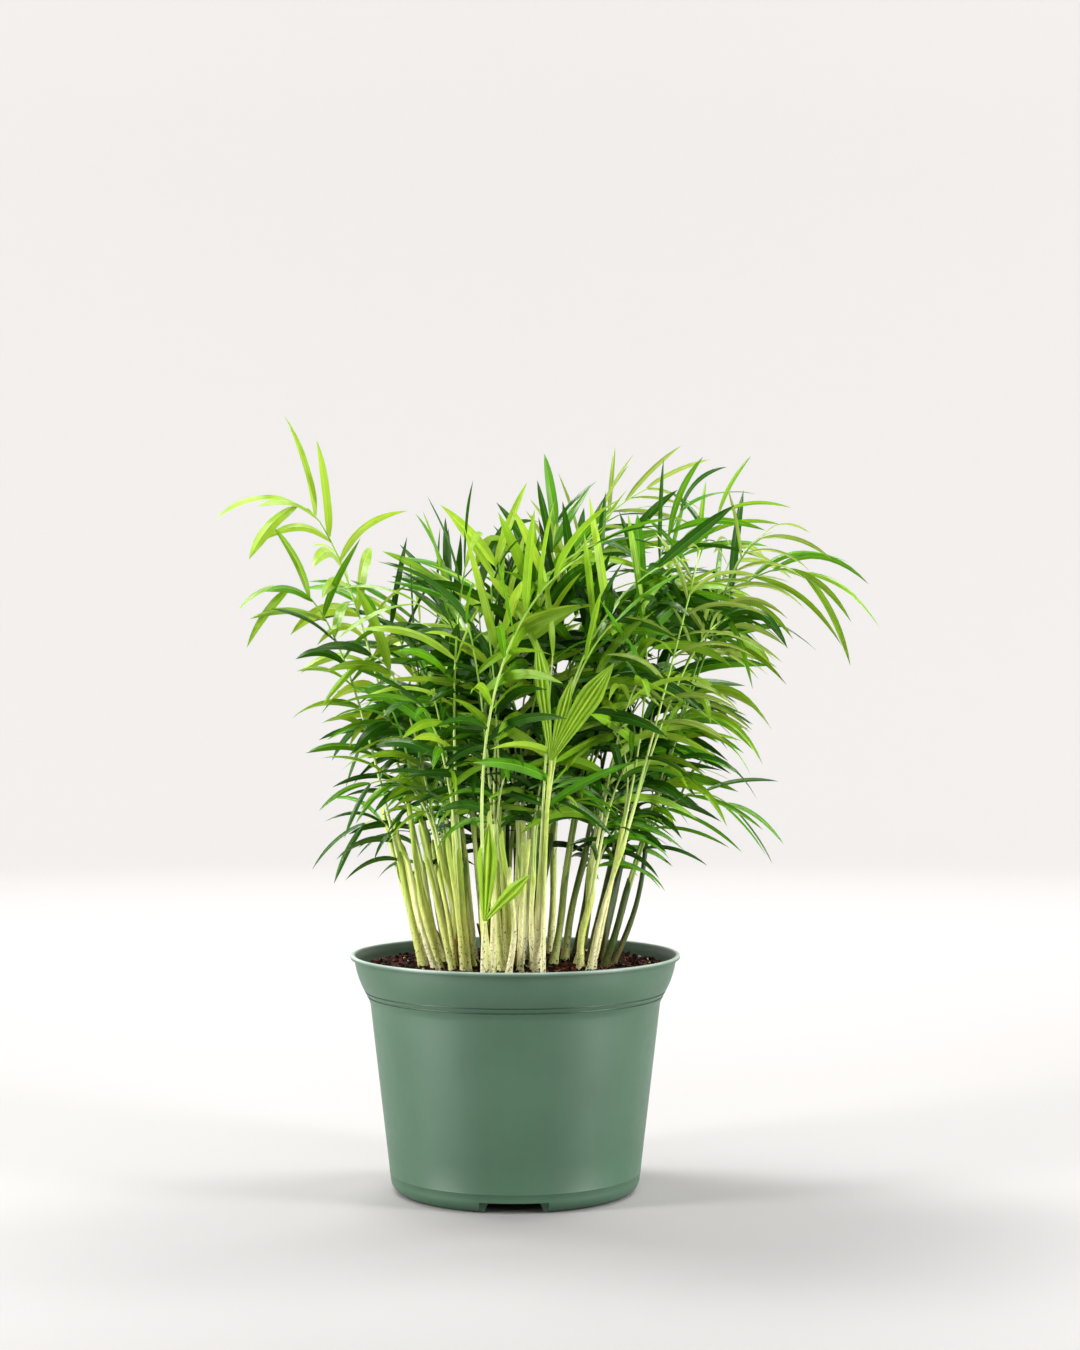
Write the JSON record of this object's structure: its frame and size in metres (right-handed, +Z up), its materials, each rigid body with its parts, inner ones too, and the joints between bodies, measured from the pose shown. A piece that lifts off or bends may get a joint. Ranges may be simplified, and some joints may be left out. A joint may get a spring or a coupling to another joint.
{
  "type": "potted parlour palm",
  "caption": "Young parlour palm: a dense clump of thin pale stems with arching feather fronds, in a round tapered plastic nursery pot filled with bark and peat mix.",
  "frame": {"origin": "centre of the pot's flat underside, at the level of the surface that the pot stands on", "axes": "+Z up along the pot's axis; -Y towards the viewer of the picture; +X to the viewer's right"},
  "size_m": [0.4033, 0.3263, 0.4708],
  "materials": {
    "pot": "satin injection-moulded polypropylene, grey green",
    "potting_mix": "loose moist bark and peat, dark reddish brown",
    "stems": "smooth pale yellow-green leaf sheaths",
    "fronds": "thin soft leaf blades with a low gloss"
  },
  "bodies": {
    "root": {"pot": "pot", "potting_mix": "potting_mix", "stem_01": "stems", "fronds_01": "fronds", "stem_02": "stems", "fronds_02": "fronds", "stem_03": "stems", "fronds_03": "fronds", "stem_04": "stems", "fronds_04": "fronds", "stem_05": "stems", "fronds_05": "fronds", "stem_06": "stems", "fronds_06": "fronds", "stem_07": "stems", "fronds_07": "fronds", "stem_08": "stems", "fronds_08": "fronds", "stem_09": "stems", "fronds_09": "fronds", "stem_10": "stems", "fronds_10": "fronds", "stem_11": "stems", "fronds_11": "fronds", "stem_12": "stems", "fronds_12": "fronds", "stem_13": "stems", "fronds_13": "fronds", "stem_14": "stems", "fronds_14": "fronds", "stem_15": "stems", "fronds_15": "fronds", "stem_16": "stems", "fronds_16": "fronds", "stem_17": "stems", "fronds_17": "fronds", "stem_18": "stems", "fronds_18": "fronds", "stem_19": "stems", "fronds_19": "fronds", "stem_20": "stems", "fronds_20": "fronds", "stem_21": "stems", "fronds_21": "fronds", "stem_22": "stems", "fronds_22": "fronds", "stem_23": "stems", "fronds_23": "fronds", "stem_24": "stems", "fronds_24": "fronds", "stem_25": "stems", "fronds_25": "fronds", "stem_26": "stems", "fronds_26": "fronds", "stem_27": "stems", "fronds_27": "fronds", "stem_28": "stems", "fronds_28": "fronds", "stem_29": "stems", "fronds_29": "fronds"}
  },
  "joints": []
}
